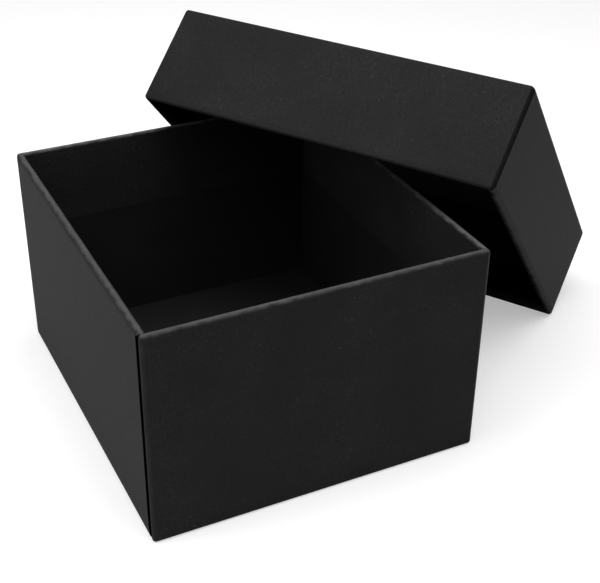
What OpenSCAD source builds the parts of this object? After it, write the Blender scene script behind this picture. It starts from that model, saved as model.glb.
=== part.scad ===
// Rigid two-piece box: an open tray and a deep lift-off lid, each made of
// board panels, corner stays, lining sheets and a covering paper turned in
// over the rim. The lid stands beside the tray and leans on its back corner.
// Sizes are in millimetres. The origin is the centre of the tray's underside.

/* [Base tray] */
// Outside width of the base, left to right
base_w = 160; // [140:1:200]
// Outside depth of the base, front to back
base_d = 180; // [150:1:220]
// Outside height of the base
base_h = 106; // [80:1:125]
// How far the covering paper is turned down inside the base
base_turn_in = 40; // [15:1:70]

/* [Lid] */
// Outside height of the lid's walls, top included
lid_h = 52; // [35:1:65]
// How far the covering paper is turned in along the lid's inner walls
lid_turn_in = 20; // [10:1:30]
// Room between the base's outside and the lid's inside, each side
lid_clearance = 1; // [0.5:0.1:3]

/* [Boards and papers] */
// Thickness of the boards
board_t = 2.8; // [1.2:0.1:4]
// Thickness of the covering paper
wrap_t = 0.2; // [0.1:0.05:0.4]
// Thickness of the lining sheets
lining_t = 0.15; // [0.1:0.05:0.3]
// Room left above a wall lining, under the turned-in paper
lining_margin = 3; // [0.5:0.5:8]
// Thickness of the corner stays
stay_t = 0.1; // [0.05:0.05:0.2]
// Length of each leg of a corner stay
stay_leg = 18; // [8:1:30]
// Room left above and below a corner stay
stay_margin = 2; // [0.5:0.5:10]
// Thickness of the glue film under the covering paper
glue_t = 0.05; // [0.02:0.01:0.1]

/* [Corners and seams] */
// Outside radius of the upright corners
fold_r = 1.75; // [0.8:0.05:2]
// How far the papers that run round the corners reach, on the outside
corner_return = 2; // [1:0.1:6]
// How far they reach past the wall's inside
return_past = 0.2; // [0.1:0.1:5]
// Open seam between the cut edges of two papers, outside on the base
base_seam = 3; // [0.2:0.1:4]
// The same seam outside on the lid
lid_seam = 1; // [0.2:0.1:4]
// Both seams on the inside
inner_seam = 0.5; // [0.1:0.1:3]

/* [Resting place of the lid] */
// Turn of the lid to the left, seen from above
lid_yaw = 33; // [25:1:45]
// Height of the lid's upper rim above the rim of the base
rim_rise = 21; // [10:1:30]
// Room between the lid's wall and the base's back rim
side_gap = 0.8; // [0.3:0.1:5]
// Room between the lid's inside and the base's back corner
lean_gap = 0.3; // [0.2:0.1:1]

/* [Hidden] */
$fn = 64;

wrap_colour = [0.13, 0.13, 0.135];
lining_colour = [0.05, 0.05, 0.052];
board_colour = [0.55, 0.52, 0.47];
stay_colour = [0.62, 0.5, 0.36];

// Layers of a wall, counted from the outside
skin_t = wrap_t + glue_t + stay_t;
board_in = skin_t + board_t;
floor_t = board_in + lining_t;
wall_t = floor_t + wrap_t;

// Depth of the papers that run round the corners, on the inside
inner_return = wall_t + return_past;

// The lid's outside follows the base
lid_w = base_w + 2 * (wall_t + lid_clearance);
lid_d = base_d + 2 * (wall_t + lid_clearance);

// A tray is its length along the turned papers, its length across them,
// its height, its turn-in and its outer seam
base_tray = [base_w, base_d, base_h, base_turn_in, base_seam];
lid_tray = [lid_d, lid_w, lid_h, lid_turn_in, lid_seam];

// The lid tips until its upper rim clears the base, its lower rim stands on
// the ground, and the inside of its top comes up to the base's back corner
lid_tilt = asin((base_h + rim_rise) / lid_w);
lid_inside = lid_h - floor_t - lean_gap;
top_reach = (base_h * cos(lid_tilt) - lid_inside) / sin(lid_tilt);
wall_reach = wall_t * cos(lid_tilt) + lean_gap;
corner_round = fold_r * (cos(lid_yaw) + sin(lid_yaw) - 1);
lid_out = max(top_reach, wall_reach) - corner_round - lid_w / 2 * cos(lid_tilt);
lid_along = lid_d / 2 - wall_t - side_gap - lid_inside * tan(lid_yaw) / sin(lid_tilt);
lid_place = [
    base_w / 2 + lid_out * cos(lid_yaw) + lid_along * sin(lid_yaw),
    base_d / 2 + lid_out * sin(lid_yaw) - lid_along * cos(lid_yaw),
    lid_w / 2 * sin(lid_tilt)
];

// Plan shapes of a tray

// The tray's outline drawn in by an inset, with its corners rounded to match
module outline(tray, inset) {
    size = [tray[0] - 2 * inset, tray[1] - 2 * inset];
    r = max(fold_r - inset, 0);
    if (r > 0) {
        square([size[0] - 2 * r, size[1]], center = true);
        square([size[0], size[1] - 2 * r], center = true);
        for (x = [-1, 1], y = [-1, 1])
            translate([x * (size[0] / 2 - r), y * (size[1] / 2 - r)]) circle(r);
    } else {
        square(size, center = true);
    }
}

// The band of a wall between two depths from the outside
module band(tray, outer, inner) {
    difference() {
        outline(tray, outer);
        outline(tray, inner);
    }
}

// The strip along the turned wall, as deep as given
module turned_zone(tray, depth) {
    translate([-tray[0] / 2, -tray[1] / 2]) square([tray[0], depth]);
}

// The plain wall between two such strips
module plain_zone(tray, depth) {
    translate([-tray[0] / 2, -tray[1] / 2 + depth]) square([tray[0] / 2, tray[1] - 2 * depth]);
}

// Plan of a paper that runs round the corners, with cuts that slant over the rim
module turned_sheet(tray) {
    x = tray[0] / 2;
    y = tray[1] / 2;
    polygon([
        [-x, -y], [x, -y], [x, corner_return - y],
        [x - wall_t, inner_return - y], [wall_t - x, inner_return - y], [-x, corner_return - y]
    ]);
}

// Plan of the paper between two such sheets, with the open seam at its ends
module plain_sheet(tray) {
    x = tray[0] / 2;
    outer = tray[1] / 2 - corner_return - tray[4];
    inner = tray[1] / 2 - inner_return - inner_seam;
    polygon([[-x, -outer], [wall_t - x, -inner], [wall_t - x, inner], [-x, outer]]);
}

// One corner of the plan
module corner_zone(tray, leg) {
    translate([-tray[0] / 2, -tray[1] / 2]) square(leg);
}

// A plan shape raised from one height to another
module raised(low, high) {
    translate([0, 0, low]) linear_extrude(high - low) children();
}

// Pieces of a tray that stands open side up, on its own underside

module floor_board(tray) {
    raised(skin_t, board_in) outline(tray, board_in);
}

module floor_lining(tray) {
    raised(board_in, floor_t) outline(tray, floor_t);
}

module floor_wrap(tray) {
    raised(0, wrap_t) outline(tray, 0);
}

module turned_board(tray) {
    raised(skin_t, tray[2] - skin_t) intersection() {
        band(tray, skin_t, board_in);
        turned_zone(tray, board_in);
    }
}

module plain_board(tray) {
    raised(skin_t, tray[2] - skin_t) intersection() {
        band(tray, skin_t, board_in);
        plain_zone(tray, board_in);
    }
}

module turned_lining(tray) {
    raised(board_in, tray[2] - skin_t - lining_margin) intersection() {
        band(tray, board_in, floor_t);
        turned_zone(tray, floor_t);
    }
}

module plain_lining(tray) {
    raised(board_in, tray[2] - skin_t - lining_margin) intersection() {
        band(tray, board_in, floor_t);
        plain_zone(tray, floor_t);
    }
}

module stay(tray) {
    raised(skin_t + stay_margin, tray[2] - skin_t - stay_margin) intersection() {
        band(tray, skin_t - stay_t, skin_t);
        corner_zone(tray, stay_leg);
    }
}

// The covering paper of all walls: outside face, rim and turned-in strip,
// cut down to the plan of one sheet
module wall_paper(tray) {
    raised(wrap_t, tray[2]) intersection() {
        band(tray, 0, wrap_t);
        children();
    }
    raised(tray[2] - wrap_t, tray[2]) intersection() {
        band(tray, 0, wall_t);
        children();
    }
    raised(tray[2] - tray[3], tray[2]) intersection() {
        band(tray, floor_t, wall_t);
        children();
    }
}

module turned_wrap(tray) {
    wall_paper(tray) turned_sheet(tray);
}

module plain_wrap(tray) {
    wall_paper(tray) plain_sheet(tray);
}

// The same piece on the opposite wall, and on the neighbouring corners
module opposite() {
    rotate([0, 0, 180]) children();
}

module across() {
    mirror([1, 0, 0]) children();
}

module behind() {
    mirror([0, 1, 0]) children();
}

// Turns a tray over into the lid's resting place
module leaning() {
    translate(lid_place)
        rotate([0, lid_tilt, lid_yaw])
            translate([0, 0, lid_h])
                mirror([0, 0, 1])
                    rotate([0, 0, 90]) children();
}

// Base pieces: its front and back papers run round the corners

module base_bottom_board() { color(board_colour) floor_board(base_tray); }
module base_front_board() { color(board_colour) turned_board(base_tray); }
module base_back_board() { color(board_colour) opposite() turned_board(base_tray); }
module base_left_board() { color(board_colour) plain_board(base_tray); }
module base_right_board() { color(board_colour) opposite() plain_board(base_tray); }

module base_front_left_stay() { color(stay_colour) stay(base_tray); }
module base_front_right_stay() { color(stay_colour) across() stay(base_tray); }
module base_back_left_stay() { color(stay_colour) behind() stay(base_tray); }
module base_back_right_stay() { color(stay_colour) opposite() stay(base_tray); }

module base_floor_lining() { color(lining_colour) floor_lining(base_tray); }
module base_front_lining() { color(lining_colour) turned_lining(base_tray); }
module base_back_lining() { color(lining_colour) opposite() turned_lining(base_tray); }
module base_left_lining() { color(lining_colour) plain_lining(base_tray); }
module base_right_lining() { color(lining_colour) opposite() plain_lining(base_tray); }

module base_bottom_wrap() { color(wrap_colour) floor_wrap(base_tray); }
module base_front_wrap() { color(wrap_colour) turned_wrap(base_tray); }
module base_back_wrap() { color(wrap_colour) opposite() turned_wrap(base_tray); }
module base_left_wrap() { color(wrap_colour) plain_wrap(base_tray); }
module base_right_wrap() { color(wrap_colour) opposite() plain_wrap(base_tray); }

// Lid pieces: its left and right papers run round the corners

module lid_top_board() { color(board_colour) leaning() floor_board(lid_tray); }
module lid_front_board() { color(board_colour) leaning() plain_board(lid_tray); }
module lid_back_board() { color(board_colour) leaning() opposite() plain_board(lid_tray); }
module lid_left_board() { color(board_colour) leaning() opposite() turned_board(lid_tray); }
module lid_right_board() { color(board_colour) leaning() turned_board(lid_tray); }

module lid_front_left_stay() { color(stay_colour) leaning() behind() stay(lid_tray); }
module lid_front_right_stay() { color(stay_colour) leaning() stay(lid_tray); }
module lid_back_left_stay() { color(stay_colour) leaning() opposite() stay(lid_tray); }
module lid_back_right_stay() { color(stay_colour) leaning() across() stay(lid_tray); }

module lid_top_lining() { color(lining_colour) leaning() floor_lining(lid_tray); }
module lid_front_lining() { color(lining_colour) leaning() plain_lining(lid_tray); }
module lid_back_lining() { color(lining_colour) leaning() opposite() plain_lining(lid_tray); }
module lid_left_lining() { color(lining_colour) leaning() opposite() turned_lining(lid_tray); }
module lid_right_lining() { color(lining_colour) leaning() turned_lining(lid_tray); }

module lid_top_wrap() { color(wrap_colour) leaning() floor_wrap(lid_tray); }
module lid_front_wrap() { color(wrap_colour) leaning() plain_wrap(lid_tray); }
module lid_back_wrap() { color(wrap_colour) leaning() opposite() plain_wrap(lid_tray); }
module lid_left_wrap() { color(wrap_colour) leaning() opposite() turned_wrap(lid_tray); }
module lid_right_wrap() { color(wrap_colour) leaning() turned_wrap(lid_tray); }

base_bottom_board();
base_front_board();
base_back_board();
base_left_board();
base_right_board();
base_front_left_stay();
base_front_right_stay();
base_back_left_stay();
base_back_right_stay();
base_floor_lining();
base_front_lining();
base_back_lining();
base_left_lining();
base_right_lining();
base_bottom_wrap();
base_front_wrap();
base_back_wrap();
base_left_wrap();
base_right_wrap();
lid_top_board();
lid_front_board();
lid_back_board();
lid_left_board();
lid_right_board();
lid_front_left_stay();
lid_front_right_stay();
lid_back_left_stay();
lid_back_right_stay();
lid_top_lining();
lid_front_lining();
lid_back_lining();
lid_left_lining();
lid_right_lining();
lid_top_wrap();
lid_front_wrap();
lid_back_wrap();
lid_left_wrap();
lid_right_wrap();
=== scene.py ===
import math

import bmesh
import bpy
import numpy as np
from mathutils import Matrix, Vector, noise


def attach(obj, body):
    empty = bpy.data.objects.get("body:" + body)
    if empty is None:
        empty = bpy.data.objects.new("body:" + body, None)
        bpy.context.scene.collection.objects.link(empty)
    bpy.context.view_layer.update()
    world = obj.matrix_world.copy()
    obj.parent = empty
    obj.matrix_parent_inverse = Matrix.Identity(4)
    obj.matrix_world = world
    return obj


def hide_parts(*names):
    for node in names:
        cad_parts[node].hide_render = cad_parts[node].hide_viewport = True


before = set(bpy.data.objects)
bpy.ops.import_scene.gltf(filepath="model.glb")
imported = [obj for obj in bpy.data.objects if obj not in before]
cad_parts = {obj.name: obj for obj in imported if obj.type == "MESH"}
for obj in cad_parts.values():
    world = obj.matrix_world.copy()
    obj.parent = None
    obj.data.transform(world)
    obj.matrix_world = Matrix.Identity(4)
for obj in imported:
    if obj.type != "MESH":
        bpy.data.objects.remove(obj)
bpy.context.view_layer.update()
scene = bpy.context.scene
scene.view_settings.view_transform = "Standard"
print("frame loaded:", len(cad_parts), "nodes")


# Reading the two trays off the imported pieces. A tray stands open side up in its own frame:
# x runs along the papers that turn the corners, y across them, z up from the outer face of its floor.

trayNodes = {
    "base": {"floor": "base_bottom_wrap", "turned": ("base_front_wrap", "base_back_wrap"),
             "plain": ("base_left_wrap", "base_right_wrap")},
    "lid": {"floor": "lid_top_wrap", "turned": ("lid_left_wrap", "lid_right_wrap"),
            "plain": ("lid_front_wrap", "lid_back_wrap")},
}


reading = {
    "upward": 0.1,         # least upward share of the normal of the lid's top
    "levelDigits": 4,      # heights that agree to a tenth of a millimetre are one level
    "sameSpot": 0.00001,   # distance that counts as none
}


def nodePoints(node, place):
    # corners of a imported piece, seen in the frame of its tray
    back = place.inverted()
    return np.array([back @ v.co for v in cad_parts[node].data.vertices])


def lidPlace():
    # the lid lies upside down: its frame comes from the slope of its top
    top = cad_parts["lid_top_wrap"].data
    normal = max((p for p in top.polygons if p.normal.z > reading["upward"]), key=lambda p: p.area).normal
    turn = Matrix.Rotation(math.atan2(normal.y, normal.x), 4, "Z")
    tilt = Matrix.Rotation(math.acos(normal.z), 4, "Y")
    upsideDown = Matrix(((0, 1, 0, 0), (1, 0, 0, 0), (0, 0, -1, 0), (0, 0, 0, 1)))
    axes = turn @ tilt @ upsideDown
    points = nodePoints("lid_top_wrap", axes)
    low, high = points.min(0), points.max(0)
    centre = Vector(((low[0] + high[0]) / 2, (low[1] + high[1]) / 2, low[2]))
    return Matrix.Translation(axes @ centre) @ axes


def readTray(name, place):
    nodes = trayNodes[name]
    floor = nodePoints(nodes["floor"], place)
    turned = nodePoints(nodes["turned"][0], place)
    plain = nodePoints(nodes["plain"][0], place)
    levels = np.unique(np.round(turned[:, 2], reading["levelDigits"]))
    length, width, paper = floor.max(0) - floor.min(0)
    height = turned[:, 2].max()
    wall = np.ptp(plain[:, 0])
    outside, inside = length / 2, length / 2 - wall

    def cut(points, x, pick):
        # from the tray's end to a paper's cut edge, at a distance x from the tray's middle
        there = np.abs(np.abs(points[:, 0]) - x) < reading["sameSpot"]
        return width / 2 - pick(np.abs(points[there, 1]))

    return {
        "name": name, "place": place, "length": length, "width": width, "height": height,
        "paper": paper, "wall": wall, "turnIn": height - levels[1],
        "turnedCut": (cut(turned, outside, np.min), cut(turned, inside, np.min)),  # a paper that runs round
        "plainCut": (cut(plain, outside, np.max), cut(plain, inside, np.max)),     # and the one it meets
    }


trays = {
    "base": readTray("base", Matrix.Identity(4)),
    "lid": readTray("lid", lidPlace()),
}
for tray in trays.values():
    sizes = (f"{k} {tray[k] * 1000:.2f} mm" for k in ("length", "width", "height", "wall"))
    print("tray", tray["name"], *sizes)


# Shader sums written as Python

class Wire:
    # one socket of a node tree; sums on it add Math nodes
    def __init__(self, tree, socket=None):
        self.tree = tree
        self.socket = socket

    def node(self, kind, settings, sockets, output=0):
        made = self.tree.nodes.new(kind)
        for key, value in settings.items():
            if key == "stops":
                self.fillRamp(made.color_ramp, value)
            else:
                setattr(made, key, value)
        for key, value in sockets.items():
            if isinstance(value, Wire):
                self.tree.links.new(value.socket, made.inputs[key])
            else:
                made.inputs[key].default_value = value
        return Wire(self.tree, made.outputs[output])

    def fillRamp(self, ramp, stops):
        while len(ramp.elements) < len(stops):
            ramp.elements.new(1)
        for element, (position, level) in zip(ramp.elements, stops):
            element.position = position
            element.color = (level, level, level, 1)

    def maths(self, operation, first, second):
        return self.node("ShaderNodeMath", {"operation": operation}, {0: first, 1: second})

    def __add__(self, other):
        return self.maths("ADD", self, other)

    def __radd__(self, other):
        return self.maths("ADD", other, self)

    def __sub__(self, other):
        return self.maths("SUBTRACT", self, other)

    def __rsub__(self, other):
        return self.maths("SUBTRACT", other, self)

    def __mul__(self, other):
        return self.maths("MULTIPLY", self, other)

    def __rmul__(self, other):
        return self.maths("MULTIPLY", other, self)

    def ramp(self, *stops):
        return self.node("ShaderNodeValToRGB", {"stops": stops}, {"Fac": self})

    def mix(self, first, second):
        # self is the share of the second colour
        return self.node("ShaderNodeMix", {"data_type": "RGBA"}, {0: self, 6: first, 7: second}, 2)


def newMaterial(name):
    made = bpy.data.materials.new(name)
    made.use_nodes = True
    return made, Wire(made.node_tree), made.node_tree.nodes["Principled BSDF"]


def plug(wire, shader, sockets):
    for key, value in sockets.items():
        if isinstance(value, Wire):
            wire.tree.links.new(value.socket, shader.inputs[key])
        else:
            shader.inputs[key].default_value = value


def grey(level, warm=0.0):
    return (level * (1 + warm), level, level * (1 - warm), 1)


# Finishes

def grain(wire, place, repeats, detail, bent=0):
    return wire.node("ShaderNodeTexNoise", {},
                     {"Vector": place, "Scale": repeats, "Detail": detail, "Distortion": bent})


def between(first, second, share):
    return (1 - share) * first + share * second


def roughness(look, share):
    return look["roughLow"] + (look["roughHigh"] - look["roughLow"]) * share


def foldMark(wire):
    # 0 on flat paper and 1 where the paper is paler, written on the sheets below: rub on cut edges, rub and
    # painted light on the rims, a painted highlight on the upright corners; in the paper of painted light
    # it lifts the painted shade
    return wire.node("ShaderNodeAttribute", {"attribute_name": "fold"}, {}, "Fac")


def dress(wire, shader, look, colour, rough, high):
    bump = wire.node("ShaderNodeBump", {},
                     {"Strength": look["bump"], "Distance": look["bumpDepth"], "Height": high})
    plug(wire, shader, {"Base Color": colour, "Roughness": rough, "Normal": bump,
                        "Specular IOR Level": look["gloss"]})


# In the looks below a grain is its repeats per metre, its layers of detail and how far it is bent.
# A ramp is a list of texture levels with the share that each gives.

coverLook = {
    # the fold mark's pale colour is rub, and also painted light on the base's rims and a painted highlight
    # on the upright corners
    "ink": grey(0.011, -0.01), "inkPale": grey(0.022, -0.01), "rubbedAndLit": grey(0.105),
    "fleckPale": grey(0.06), "fleckDark": grey(0.003),
    "fibre": (1700, 3), "cloud": (34, 5), "scuff": (210, 6), "fleck": (800, 2, 1.2),
    "pebble": 760, "speck": 300,  # cells per metre
    "tones": ((0.34, 0), (0.68, 1)), "scuffs": ((0.3, 0.7), (0.7, 1)), "dents": ((0.06, 1), (0.17, 0)),
    "patches": ((0.42, 0.4), (0.6, 1)),
    "paleFlecks": ((0.62, 0), (0.7, 1)), "darkFlecks": ((0.3, 1), (0.38, 0)),
    "fibreTone": 0.7, "paleShare": 0.35, "darkShare": 0.5,
    "roughLow": 0.52, "roughHigh": 0.68, "fibreRough": 0.5, "rubSmooth": 0.06, "gloss": 0.026,
    "bump": 1.0, "bumpDepth": 0.00012,
    "pebbleSoft": 0.6, "pebbleHigh": 0.55, "fibreHigh": 0.35, "dentDeep": 2.0,
}


def coveringPaper():
    look = coverLook
    made, wire, shader = newMaterial("coveringPaper")
    place = wire.node("ShaderNodeTexCoord", {}, {}, "Object")
    kinds = ("fibre", "cloud", "scuff", "fleck")
    fibre, cloud, scuff, fleck = (grain(wire, place, *look[kind]) for kind in kinds)
    pebbleCells = {"Vector": place, "Scale": look["pebble"], "Smoothness": look["pebbleSoft"]}
    pebble = wire.node("ShaderNodeTexVoronoi", {"feature": "SMOOTH_F1"}, pebbleCells, "Distance")
    speck = wire.node("ShaderNodeTexVoronoi", {}, {"Vector": place, "Scale": look["speck"]}, "Distance")
    dent = speck.ramp(*look["dents"])
    # pale mark: rub on the cut edges, rub and painted light on the rims, painted highlight on the upright
    # corners
    rubbedAndLit = foldMark(wire) * scuff.ramp(*look["scuffs"])
    tone = between(cloud, fibre, look["fibreTone"]).ramp(*look["tones"])
    patch = cloud.ramp(*look["patches"])
    pale, dark = (patch * fleck.ramp(*look[k]) for k in ("paleFlecks", "darkFlecks"))
    sheet = (look["darkShare"] * dark).mix(tone.mix(look["ink"], look["inkPale"]), look["fleckDark"])
    colour = rubbedAndLit.mix((look["paleShare"] * pale).mix(sheet, look["fleckPale"]), look["rubbedAndLit"])
    rough = roughness(look, between(cloud, fibre, look["fibreRough"])) - look["rubSmooth"] * rubbedAndLit
    high = look["pebbleHigh"] * pebble + look["fibreHigh"] * fibre - look["dentDeep"] * dent
    dress(wire, shader, look, colour, rough, high)
    return made


# the lid's ink, pale ink and dust are darker copies of the base's: painted shade for the inside of the
# upturned lid
liningLook = {
    "ink": {"base": grey(0.0083), "lid": grey(0.0022)},
    "inkPale": {"base": grey(0.0135), "lid": grey(0.0038)},
    "dust": {"base": grey(0.05), "lid": grey(0.012)},
    "cloud": (22, 4), "fibre": (1800, 4), "fleck": (620, 2),
    "tones": ((0.36, 0), (0.64, 1)), "dusty": ((0.7, 0), (0.78, 1)), "fibreTone": 0.5, "dustShare": 0.25,
    "roughLow": 0.62, "roughHigh": 0.8, "gloss": 0.05, "bump": 0.18, "bumpDepth": 0.00003,
}


def liningPaper(tray):
    look = liningLook
    made, wire, shader = newMaterial(tray + "Lining")
    place = wire.node("ShaderNodeTexCoord", {}, {}, "Object")
    cloud, fibre, fleck = (grain(wire, place, *look[k]) for k in ("cloud", "fibre", "fleck"))
    tone = between(cloud, fibre, look["fibreTone"]).ramp(*look["tones"])
    dust = look["dustShare"] * fleck.ramp(*look["dusty"])
    colour = dust.mix(tone.mix(look["ink"][tray], look["inkPale"][tray]), look["dust"][tray])
    dress(wire, shader, look, colour, roughness(look, fibre), fibre)
    return made


paintedLightLook = {
    "dark": grey(0.0008), "pale": grey(0.1), "fibre": (900, 3), "paleLeast": 0.6, "paleFibre": 0.8,
    "roughLow": 0.85, "roughHigh": 1.0, "gloss": 0.0,
}


def paintedLightPaper():
    # paper of painted light, without sheen: black painted shade in the open seams, dark painted shade on
    # the lid's rims and turned-in strips, and a painted highlight on the outer fold of the lid's front and
    # back rims; the fold mark makes it paler
    look = paintedLightLook
    made, wire, shader = newMaterial("paintedLightPaper")
    place = wire.node("ShaderNodeTexCoord", {}, {}, "Object")
    fibre = grain(wire, place, *look["fibre"])
    tone = foldMark(wire) * (look["paleLeast"] + look["paleFibre"] * fibre)
    plug(wire, shader, {"Base Color": tone.mix(look["dark"], look["pale"]),
                        "Roughness": roughness(look, fibre), "Specular IOR Level": look["gloss"]})
    return made


boardLook = {
    "pulp": grey(0.27, 0.09), "pulpPale": grey(0.36, 0.07), "speck": grey(0.09, 0.05),
    "cloud": (60, 4), "fibre": (900, 5),
    "tones": ((0.34, 0), (0.66, 1)), "specks": ((0.66, 0), (0.74, 1)), "fibreTone": 0.6, "speckShare": 0.7,
    "roughLow": 0.8, "roughHigh": 0.95, "gloss": 0.2, "bump": 0.35, "bumpDepth": 0.00006,
}


def greyBoard():
    look = boardLook
    made, wire, shader = newMaterial("greyBoard")
    place = wire.node("ShaderNodeTexCoord", {}, {}, "Object")
    cloud, fibre = (grain(wire, place, *look[k]) for k in ("cloud", "fibre"))
    tone = between(cloud, fibre, look["fibreTone"]).ramp(*look["tones"])
    speck = look["speckShare"] * fibre.ramp(*look["specks"])
    colour = speck.mix(tone.mix(look["pulp"], look["pulpPale"]), look["speck"])
    dress(wire, shader, look, colour, roughness(look, fibre), fibre)
    return made


stayLook = {
    "kraft": grey(0.24, 0.34), "kraftPale": grey(0.34, 0.3), "fibre": (1100, 5),
    "laid": 233.33333, "laidBent": 2.0, "laidTone": 0.3, "tones": ((0.3, 0), (0.7, 1)),
    "roughLow": 0.7, "roughHigh": 0.9, "gloss": 0.25, "bump": 0.25, "bumpDepth": 0.00004,
}


def stayPaper():
    look = stayLook
    made, wire, shader = newMaterial("stayPaper")
    place = wire.node("ShaderNodeTexCoord", {}, {}, "Object")
    fibre = grain(wire, place, *look["fibre"])
    laid = wire.node("ShaderNodeTexWave", {"bands_direction": "Z"},
                     {"Vector": place, "Scale": look["laid"], "Distortion": look["laidBent"]})
    tone = between(fibre, laid, look["laidTone"]).ramp(*look["tones"])
    colour = tone.mix(look["kraft"], look["kraftPale"])
    dress(wire, shader, look, colour, roughness(look, fibre), tone)
    return made


coverMaterial = coveringPaper()
liningMaterials = {tray: liningPaper(tray) for tray in trays}
paintedLightMaterial = paintedLightPaper()
boardMaterial = greyBoard()
stayMaterial = stayPaper()
print("finishes made")


# Covering paper: each wall is one folded sheet, drawn as a profile swept round the tray's plan

paperFold = {
    "cornerRadius": 0.00175,   # upright corners, outside
    "cornerTight": 0.00015,    # least radius on the inside of a corner
    "bottomRadius": 0.0018,    # fold at the foot of a wall
    "rimOut": 0.0015, "rimIn": 0.0013,  # folds over the rim
    "underFlat": 0.001,        # strip that runs on under the tray, flush with its floor paper
    "arcSteps": 8, "cornerSteps": 12, "rimSteps": 4, "creaseSteps": 4, "floorCells": 24,
    "faceStep": 0.0035, "alongStep": 0.001,
    "closeFit": 0.00003,       # joint between two papers under the tray
    "seamCurl": {"base": 0.0009, "lid": 0.0},  # how far a seam's cut edge curls back
    "seamOpen": {"base": (0.12, 1), "lid": (1, 1)},  # share of the seam left open at a plain paper's ends
    "rimGap": 0.1,             # share of the seam that stays open over the rim
    "bareCorner": {"base": 0, "lid": 75},     # degrees of a corner that its paper leaves open
    # on the lid the turned-in strip is drawn in the paper of painted light, and this mark lifts its painted
    # shade a little
    "insideTone": {"base": 0, "lid": 0.08},   # fold mark of the turned-in strip
    # painted highlight on the upright corners by side, rub on the cut edges, and on each paper's rim a pale
    # mark that is partly rub and partly painted light
    "cornerHighlight": {"base": {-1: 0.05, 1: 0.45}, "lid": {-1: 0.05, 1: 0.05}},
    "cutRub": 0.05, "cutColumns": 2,
    # the base's rims are paler as painted light from above, the right and back ones most where the lid
    # shades them; the lid's values set the painted shade and highlight of its rims
    "rimWearAndLight": {"base_front_wrap": 0.64, "base_left_wrap": 0.64,
               "base_right_wrap": 0.85, "base_back_wrap": 1.0,
               "lid_left_wrap": 0.2, "lid_right_wrap": 0.2,
               "lid_front_wrap": 0.55, "lid_back_wrap": 0.55},
    "sharp": 50,               # degrees between faces that stay a sharp edge
}

paintedLightRim = ("rimOut", "rim", "rimIn", "inside")
rimMarks = {
    # how the pale mark fades down a fold, where 0 keeps it even, and the zones drawn in the paper of
    # painted light (painted shade on the lid's rims and turned-in strips)
    "base": {"turned": {"fade": 1.5, "paintedLightZones": ()}, "plain": {"fade": 1.5, "paintedLightZones": ()}},
    "lid": {"turned": {"fade": 0, "paintedLightZones": paintedLightRim},
            # places from the outer fold to the inner one, and the pale mark at each: a painted highlight on
            # the outer fold, fading to painted shade inside
            "plain": {"fade": 0, "paintedLightZones": paintedLightRim, "curve": ((0, 0.1, 0.4, 1), (0.3, 1, 0.36, 0.18))}},
}

paperSwell = {
    "face": 0.00003, "rim": 0.0002, "inside": 0.00008, "cut": 0.00035,  # how far the sheet strays
    "long": 0.022, "short": 0.0034,  # length of its waves
    "rimLong": 0.45, "rimShort": 0.55, "creaseLeast": 0.4,  # their shares on the rim and in the dent
    # dent under the rim's outer fold, and the plain strip under it
    "creaseBelow": 0.00035, "creaseHalf": 0.0003, "creaseDeep": 0.0001, "creaseClear": 0.002,
    # the unevenness falls on the painted light of rims and corners as well as on rub
    "ragged": 0.55,  # how unevenly the rub ends along a fold
    # seeds of the papers, what each further kind of wave adds, and how a seed moves the pattern
    "seed": {"turned": 1, "plain": 3}, "shortSeed": 7, "hemSeed": 3, "rubSeed": 5, "skew": 2.3,
}


def arc(centreIn, centreZ, radius, start, end, steps):
    # points and outward directions of a fold in the wall's section; angles turn from outward to up
    for k in range(steps + 1):
        a = math.radians(start + (end - start) * k / steps)
        out, up = math.cos(a), math.sin(a)
        yield centreIn - radius * out, centreZ + radius * up, -out, up


def wallProfile(tray, fade):
    # rows of a wall's section, from under the tray, up the face, over the rim and down inside
    fold, wall, height = paperFold, tray["wall"], tray["height"]
    foot, rimOut, rimIn = fold["bottomRadius"], fold["rimOut"], fold["rimIn"]
    tone = fold["insideTone"][tray["name"]]
    rows = []

    def put(inset, z, nIn, nZ, zone, wearAndPaintedLight):
        rows.append({"inset": inset, "z": z, "nIn": nIn, "nZ": nZ, "zone": zone, "wearAndPaintedLight": wearAndPaintedLight})

    for share in (1, 0.5):
        put(foot + fold["underFlat"] * share, 0, 0, -1, "under", 0)
    for point in arc(foot, foot, foot, -90, 0, fold["arcSteps"]):
        put(*point, "foot", 0)
    high = height - rimOut
    crease = high - paperSwell["creaseBelow"]
    rise = crease - paperSwell["creaseClear"] - foot
    steps = int(rise / fold["faceStep"])
    for k in range(1, steps + 1):
        put(0, foot + rise * k / steps, -1, 0, "face", 0)
    steps = fold["creaseSteps"]
    for k in range(-steps, steps + 1):
        put(0, crease + k / steps * paperSwell["creaseHalf"], -1, 0, "crease", 0)
    # pale mark over the rim: partly rub, partly painted light on the rim's lit top; on the lid it sets the
    # painted shade and highlight of the rim
    for k, point in enumerate(arc(rimOut, high, rimOut, 0, 90, fold["arcSteps"])):
        put(*point, "rimOut", (k / fold["arcSteps"]) ** fade)
    steps = fold["rimSteps"]
    for k in range(1, steps):
        put(rimOut + (wall - rimOut - rimIn) * k / steps, height, 0, 1, "rim", 1)
    for k, point in enumerate(arc(wall - rimIn, height - rimIn, rimIn, 90, 180, fold["arcSteps"])):
        put(*point, "rimIn", (1 - k / fold["arcSteps"]) ** fade)
    fall = tray["turnIn"] - rimIn
    steps = int(fall / fold["faceStep"])
    for k in range(1, steps + 1):
        put(wall, height - rimIn - fall * k / steps, 1, 0, "inside", tone)
    return rows


def zoneShare(rows, *zones):
    # how far along its fold each row of the zones lies, 0 to 1
    found = [k for k, row in enumerate(rows) if row["zone"] in zones]
    return {k: n / (len(found) - 1) for n, k in enumerate(found)}


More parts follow.
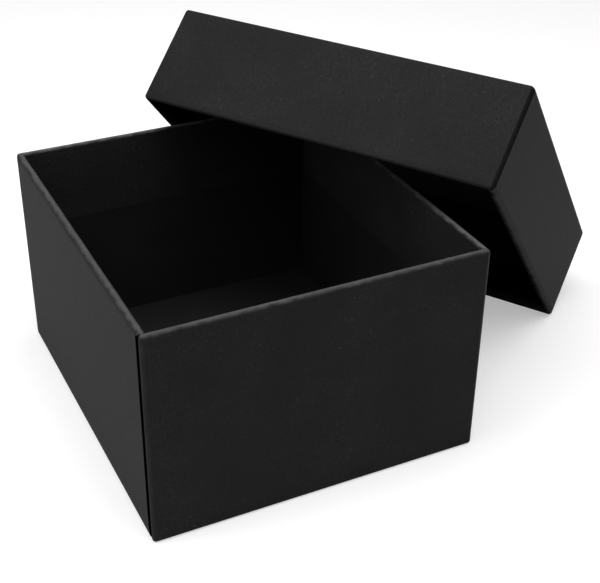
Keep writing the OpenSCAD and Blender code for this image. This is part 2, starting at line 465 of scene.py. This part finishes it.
def cutLine(tray, cut, inset):
    # the cut edges slant from the outside of a wall to its inside
    outside, inside = tray[cut]
    return outside + (inside - outside) * min(inset / tray["wall"], 1)


def cutDepths(tray, rows, opened):
    # where the plain wall's paper is cut, row by row, measured from the tray's end
    foot, back = zoneShare(rows, "foot"), zoneShare(rows, "rimIn")
    over = zoneShare(rows, "crease", "rimOut")
    depths = []
    for k, row in enumerate(rows):
        turned, plain = (cutLine(tray, cut, row["inset"]) for cut in ("turnedCut", "plainCut"))
        gap = (plain - turned) * math.sqrt(foot.get(k, 1))
        if row["zone"] in ("face", "crease", "rimOut"):
            gap += paperFold["seamCurl"][tray["name"]]
        if row["zone"] == "under":
            gap = paperFold["closeFit"]
        elif row["zone"] in ("crease", "rimOut", "rim", "rimIn"):
            gap *= 1 - (1 - paperFold["rimGap"]) * over.get(k, 1) * (1 - back.get(k, 0))
        depths.append(turned + opened * gap)
    return depths


def cornerRadius(inset):
    return max(paperFold["cornerRadius"] - inset, paperFold["cornerTight"])


# Columns of a paper: each gives the plan point for a row's inset and number, the way it faces and its pale
# mark, a painted highlight on the corners and rub on the cut edges.
# The side is -1 at the tray's left and 1 at its right.

def cornerColumn(tray, side, angle):
    a = math.radians(angle)

    def at(inset, row):
        r = cornerRadius(inset)
        return (side * (tray["length"] / 2 - inset - r) + r * math.cos(a),
                -tray["width"] / 2 + inset + r + r * math.sin(a))
    # the corner's pale mark is a painted highlight, strongest halfway round the fold
    paleMark = paperFold["cornerHighlight"][tray["name"]][side]
    return at, (math.cos(a), math.sin(a)), paleMark * math.sin(math.radians(2 * (angle % 90)))


def stripColumn(tray, side, reach):
    # reach gives how far past the corner's turn the column stands
    def at(inset, row):
        start = inset + cornerRadius(inset)
        return side * (tray["length"] / 2 - inset), -tray["width"] / 2 + start + reach(inset, start)
    return at, (side, 0), 0


def frontColumn(tray, share):
    def at(inset, row):
        reach = tray["length"] / 2 - inset - cornerRadius(inset)
        return -reach + 2 * reach * share, -tray["width"] / 2 + inset
    return at, (0, -1), 0


def turnedPath(tray):
    fold = paperFold
    bare, turns = fold["bareCorner"][tray["name"]], fold["cornerSteps"]

    def strip(side, share):
        def reach(inset, start):
            return share * max(cutLine(tray, "turnedCut", inset) - start, fold["closeFit"])
        return stripColumn(tray, side, reach)

    def corner(side):
        angles = [bare + (90 - bare) * k / turns for k in range(turns + 1)]
        columns = [cornerColumn(tray, side, 180 + a if side < 0 else 360 - a) for a in angles]
        return columns if bare else [strip(side, 1), strip(side, 0.5)] + columns

    steps = int(tray["length"] / fold["alongStep"])
    middle = [frontColumn(tray, k / steps) for k in range(1, steps)]
    return corner(-1) + middle + corner(1)[::-1]


def plainPath(tray, rows):
    # columns of a paper that is cut short of both corners
    halfX, halfY = tray["length"] / 2, tray["width"] / 2
    first, last = (cutDepths(tray, rows, share) for share in paperFold["seamOpen"][tray["name"]])
    steps = int(tray["width"] / paperFold["alongStep"])

    def column(k):
        def at(inset, row):
            start, end = halfY - first[row], last[row] - halfY
            return -halfX + inset, start + (end - start) * k / steps
        return at, (-1, 0), paperFold["cutRub"] * (min(k, steps - k) < paperFold["cutColumns"])
    return [column(k) for k in range(steps + 1)]


def wave(point, size, seed):
    return noise.noise(Vector(point) / size + Vector((seed, paperSwell["skew"] * seed, 0)))


def stray(row, point, seed):
    # how far the sheet lies off its true place, into the wall, at a point
    swell, zone = paperSwell, row["zone"]
    mild = 0.5 + 0.5 * wave(point, swell["long"], seed)
    quick = 0.5 + 0.5 * wave(point, swell["short"], seed + swell["shortSeed"])
    if zone in ("rim", "rimOut", "rimIn"):
        return swell["rim"] * (swell["rimLong"] * mild + swell["rimShort"] * quick)
    if zone == "inside":
        return -swell["inside"] * mild * (1 - row["fade"])
    if zone == "crease":
        least = swell["creaseLeast"]
        return swell["face"] * mild + swell["creaseDeep"] * row["dent"] * (least + (1 - least) * quick)
    if zone == "face":
        return swell["face"] * mild
    return 0


def finishRows(rows):
    # extra marks that depend on where a row lies in its zone
    for k, share in zoneShare(rows, "crease").items():
        rows[k]["dent"] = math.sin(math.pi * share)
    for k, share in zoneShare(rows, "inside").items():
        rows[k]["fade"] = abs(2 * share - 1)
        rows[k]["hem"] = share


def sweptSheet(rows, columns, thickness, seed, paintedLightZones, rimWearAndLight=1):
    # a closed thin sheet: outer and glue side, edges and ends; gives points, faces, fold marks and which
    # faces take the paper of painted light
    points, marks, faces, paintedLightFaces = [], [], [], []
    swell, count = paperSwell, len(rows)
    isPaintedLight = [int(row["zone"] in paintedLightZones) for row in rows]
    for at, normal, wearAndPaintedLight in columns:
        outer, glue = [], []
        for k, row in enumerate(rows):
            x, y = at(row["inset"], k)
            z = row["z"]
            direction = Vector((-row["nIn"] * normal[0], -row["nIn"] * normal[1], row["nZ"]))
            if row["zone"] == "inside":
                z += swell["cut"] * row["hem"] * wave((x, y, 0), swell["long"], seed + swell["hemSeed"])
            place = Vector((x, y, z)) - direction * stray(row, (x, y, z), seed)
            outer.append(place)
            glue.append(place - direction * thickness)
            # pale mark: rub and painted light on the rims, a painted highlight on the upright corners, rub
            # on the cut edges
            shown = row["zone"] in ("face", "crease", "foot")
            paleMark = max(row["wearAndPaintedLight"], wearAndPaintedLight if shown else 0)
            ragged = 0 if row["zone"] == "inside" else swell["ragged"]
            rag = ragged * wave((x, y, 0), swell["short"], seed + swell["rubSeed"])
            uneven = 4 * rag * paleMark * (1 - paleMark)  # the whole of rag halfway down a fade, none at its ends
            marks.append(rimWearAndLight * min(max(paleMark + uneven, 0), 1))
        points += outer + glue
        marks += marks[-count:]
    loop = 2 * count
    for c in range(len(columns) - 1):
        here, there = c * loop, (c + 1) * loop
        for k in range(count - 1):
            faces.append((here + k, there + k, there + k + 1, here + k + 1))
            faces.append((here + count + k + 1, there + count + k + 1, there + count + k, here + count + k))
            paintedLightFaces += [isPaintedLight[k]] * 2
        for k in (0, count - 1):
            faces.append((here + k, here + count + k, there + count + k, there + k))
            paintedLightFaces.append(isPaintedLight[k])
    for base in (0, (len(columns) - 1) * loop):
        for k in range(count - 1):
            faces.append((base + k, base + k + 1, base + count + k + 1, base + count + k))
            paintedLightFaces.append(isPaintedLight[k])
    return points, faces, marks, paintedLightFaces


# the tone is the flap's fold mark: the base's 0 gives black painted shade in its open seams, the lid's a
# dark grey painted shade
flapSize = {"under": 0.0008, "beyond": 0.003, "clear": 0.000006, "thick": 0.00003,
            "turns": 8, "tone": {"base": 0.0, "lid": 0.09}}


def cornerFlap(tray, rows, side):
    # end of a turned paper where it goes on under the plain wall's sheet; all of it is drawn in the paper
    # of painted light, as painted shade in the open seam
    flap, sunk = flapSize, []
    depth = tray["paper"] + flap["clear"]
    for row in rows:
        if row["zone"] != "inside":
            moved = dict(row)
            moved["inset"] = row["inset"] - row["nIn"] * depth
            moved["z"] = row["z"] - row["nZ"] * depth
            sunk.append(moved)
    end = tray["plainCut"][1] + flap["beyond"]
    columns = [stripColumn(tray, side, lambda inset, start: end - start),
               stripColumn(tray, side, lambda inset, start: 0)]
    for k in range(1, flap["turns"] + 1):
        turn = 90 * k / flap["turns"]
        columns.append(cornerColumn(tray, side, 180 + turn if side < 0 else 360 - turn))
    share = flap["under"] / tray["length"]
    columns.append(frontColumn(tray, share if side < 0 else 1 - share))
    zones = {row["zone"] for row in sunk}
    points, faces, marks, paintedLightFaces = sweptSheet(sunk, columns, flap["thick"], 0, zones)
    return points, faces, [flap["tone"][tray["name"]]] * len(points), paintedLightFaces


def setPiece(node, mesh, tray):
    # a mesh drawn in its tray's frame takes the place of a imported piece
    mesh.transform(tray["place"])
    piece = bpy.data.objects.new(mesh.name, mesh)
    scene.collection.objects.link(piece)
    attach(piece, tray["name"])
    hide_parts(node)


def paperPiece(node, shells, tray, opposite=False):
    # shells are lists of points, faces, fold marks and which faces take the paper of painted light, joined
    # into one piece
    points, faces, marks, paintedLightFaces = [], [], [], []
    for shellPoints, shellFaces, shellMarks, shellPaintedLight in shells:
        first = len(points)
        points += shellPoints
        marks += shellMarks
        faces += [tuple(first + k for k in face) for face in shellFaces]
        paintedLightFaces += shellPaintedLight
    mesh = bpy.data.meshes.new(node + "_sheet")
    mesh.from_pydata([tuple(p) for p in points], [], faces)
    mesh.attributes.new("fold", "FLOAT", "POINT").data.foreach_set("value", np.array(marks, np.float32))
    mesh.materials.append(coverMaterial)
    if any(paintedLightFaces):
        mesh.materials.append(paintedLightMaterial)
    mesh.polygons.foreach_set("material_index", paintedLightFaces)
    tidy = bmesh.new()
    tidy.from_mesh(mesh)
    bmesh.ops.recalc_face_normals(tidy, faces=tidy.faces)
    tidy.to_mesh(mesh)
    tidy.free()
    mesh.shade_smooth()
    mesh.set_sharp_from_angle(angle=math.radians(paperFold["sharp"]))
    if opposite:
        mesh.transform(Matrix.Rotation(math.pi, 4, "Z"))
    setPiece(node, mesh, tray)


def wallPapers(tray, kind):
    look = rimMarks[tray["name"]][kind]
    rows = wallProfile(tray, look["fade"])
    # on the lid's front and back rims this paints a highlight on the outer fold and shade further in
    if "curve" in look:
        for k, share in zoneShare(rows, "rimOut", "rim", "rimIn").items():
            rows[k]["wearAndPaintedLight"] = np.interp(share, *look["curve"])
    finishRows(rows)
    if kind == "turned":
        columns, flaps = turnedPath(tray), [cornerFlap(tray, rows, side) for side in (-1, 1)]
    else:
        columns, flaps = plainPath(tray, rows), []
    for n, node in enumerate(trayNodes[tray["name"]][kind]):
        seed, paleMark = paperSwell["seed"][kind] + n, paperFold["rimWearAndLight"][node]
        sheet = sweptSheet(rows, columns, tray["paper"], seed, look["paintedLightZones"], paleMark)
        paperPiece(node, [sheet] + flaps, tray, opposite=n == 1)


def floorPaper(tray):
    # flat sheet under the base, or on top of the lid, flush with the strips of the wall papers
    node = trayNodes[tray["name"]]["floor"]
    edge = paperFold["bottomRadius"] + paperFold["underFlat"]
    halfX, halfY = tray["length"] / 2 - edge, tray["width"] / 2 - edge
    cells = paperFold["floorCells"]
    points, faces = [], []
    for z in (0, tray["paper"]):
        for k in range(cells + 1):
            for j in range(cells + 1):
                points.append(Vector((-halfX + 2 * halfX * j / cells, -halfY + 2 * halfY * k / cells, z)))
    layer = (cells + 1) ** 2
    for k in range(cells):
        for j in range(cells):
            a = k * (cells + 1) + j
            quad = (a, a + 1, a + cells + 2, a + cells + 1)
            faces += [quad[::-1], tuple(layer + v for v in quad)]
    for k in range(cells):
        for a, b in ((k, k + 1), (layer - 1 - k, layer - 2 - k),
                     ((k + 1) * (cells + 1), k * (cells + 1)),
                     (k * (cells + 1) + cells, (k + 1) * (cells + 1) + cells)):
            faces.append((a, b, layer + b, layer + a))
    paperPiece(node, [(points, faces, [0] * len(points), [0] * len(faces))], tray)


for tray in trays.values():
    for kind in ("turned", "plain"):
        wallPapers(tray, kind)
    floorPaper(tray)
print("covering papers folded")


# Boards, stays and linings

boardEdge = {"round": 0.00139, "cells": 9, "clear": 0.00015}


def pressedBoard(node, tray):
    # wall board with its edges pressed round, clear of the folds of the paper about it
    points = nodePoints(node, tray["place"])
    low, high = points.min(0), points.max(0)
    high[2] -= boardEdge["clear"]
    middle, half, r = (low + high) / 2, (high - low) / 2, boardEdge["round"]
    shape = bmesh.new()
    bmesh.ops.create_cube(shape, size=2)
    bmesh.ops.subdivide_edges(shape, edges=shape.edges[:], cuts=boardEdge["cells"] - 1, use_grid_fill=True)
    for v in shape.verts:
        side = np.sign(v.co)
        # the cube's points spread at even angles over the rounding
        turn = np.tan(np.array(v.co) * math.pi / 4)
        v.co = middle + side * (half - r) + r * turn / np.linalg.norm(turn)
    mesh = bpy.data.meshes.new(node + "_pressed")
    shape.to_mesh(mesh)
    shape.free()
    mesh.shade_smooth()
    mesh.materials.append(boardMaterial)
    setPiece(node, mesh, tray)


for tray in trays.values():
    for wall in ("front", "back", "left", "right"):
        pressedBoard(f"{tray['name']}_{wall}_board", tray)

innerFinish = {"board": boardMaterial, "stay": stayMaterial}
for node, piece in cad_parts.items():
    kind = node.rsplit("_", 1)[1]
    if kind != "wrap":
        piece.data.materials.clear()
        piece.data.materials.append(innerFinish.get(kind) or liningMaterials[node.split("_")[0]])
print("boards, stays and linings finished")


# Floor, lights and camera

def seenRays(wire):
    # 1 on rays that show the surroundings to the camera, straight or by way of gloss and glass
    kinds = ("Is Camera Ray", "Is Glossy Ray", "Is Transmission Ray")
    share, *others = (wire.node("ShaderNodeLightPath", {}, {}, kind) for kind in kinds)
    for other in others:
        share = wire.maths("MAXIMUM", share, other)
    return share


floorLook = {"paint": grey(0.72), "rough": 0.9, "gloss": 0.0, "glow": 0.385, "half": 4.0}


def studioFloor():
    half = floorLook["half"]
    mesh = bpy.data.meshes.new("studioFloor")
    corners = [(-half, -half, 0), (half, -half, 0), (half, half, 0), (-half, half, 0)]
    mesh.from_pydata(corners, [], [(0, 1, 2, 3)])
    floor = bpy.data.objects.new("studioFloor", mesh)
    scene.collection.objects.link(floor)
    made, wire, shader = newMaterial("palePaint")
    plug(wire, shader, {"Base Color": floorLook["paint"], "Roughness": floorLook["rough"],
                        "Specular IOR Level": floorLook["gloss"],
                        "Emission Color": seenRays(wire).mix(grey(0), grey(1)),
                        "Emission Strength": floorLook["glow"]})
    mesh.materials.append(made)


worldLook = {"seen": 1.0, "fill": 0.02}


def studioWorld():
    world = bpy.data.worlds.new("studioWorld")
    world.use_nodes = True
    scene.world = world
    wire = Wire(world.node_tree)
    strength = worldLook["fill"] + (worldLook["seen"] - worldLook["fill"]) * seenRays(wire)
    plug(wire, world.node_tree.nodes["Background"], {"Color": grey(1), "Strength": strength})


softboxes = {
    "overhead": {"at": (0.0, -0.05, 1.3), "aim": (0.0, -0.05, 0.0), "size": (0.9, 0.9), "power": 9.3},
    "frontHigh": {"at": (0.1, -0.9, 1.3), "aim": (0.0, 0.0, 0.0), "size": (2.2, 0.9), "power": 12.0},
    "rightHigh": {"at": (0.6, -0.3, 1.25), "aim": (0.05, 0.0, 0.05), "size": (0.9, 0.9), "power": 1.8},
    "leftHigh": {"at": (-0.65, 0.25, 1.2), "aim": (0.05, 0.0, 0.08), "size": (0.7, 0.7), "power": 5.5},
    "leftSide": {"at": (-1.25, -0.05, 0.55), "aim": (0, 0, 0.06), "size": (0.9, 0.8), "power": 4.8},
}


def softbox(name, look):
    lamp = bpy.data.lights.new(name, "AREA")
    lamp.shape = "RECTANGLE"
    lamp.size, lamp.size_y = look["size"]
    lamp.energy = look["power"]
    made = bpy.data.objects.new(name, lamp)
    scene.collection.objects.link(made)
    made.location = look["at"]
    made.rotation_euler = (Vector(look["aim"]) - Vector(look["at"])).to_track_quat("-Z", "Y").to_euler()


cameraLook = {
    "eye": (-0.19779, -0.46343, 0.36839),
    "turn": 26.445, "down": 31.859, "roll": 0.79,  # degrees
    "focus": 1226.3, "imageWidth": 600,            # pixels of the picture
    "sensor": 36.0,
}


def photoCamera():
    look = cameraLook
    turn, down, roll = (math.radians(look[k]) for k in ("turn", "down", "roll"))
    forward = Vector((math.sin(turn) * math.cos(down), math.cos(turn) * math.cos(down), -math.sin(down)))
    level = Vector((math.cos(turn), -math.sin(turn), 0))
    upright = level.cross(forward)
    right = level * math.cos(roll) + upright * math.sin(roll)
    up = upright * math.cos(roll) - level * math.sin(roll)
    lens = bpy.data.cameras.new("photoCamera")
    lens.sensor_fit = "HORIZONTAL"
    lens.sensor_width = look["sensor"]
    lens.lens = look["focus"] * look["sensor"] / look["imageWidth"]
    made = bpy.data.objects.new("photoCamera", lens)
    scene.collection.objects.link(made)
    axes = Matrix((right, up, -forward)).transposed().to_4x4()
    made.matrix_world = Matrix.Translation(look["eye"]) @ axes
    scene.camera = made


studioFloor()
studioWorld()
for name, look in softboxes.items():
    softbox(name, look)
photoCamera()
print("studio set up")
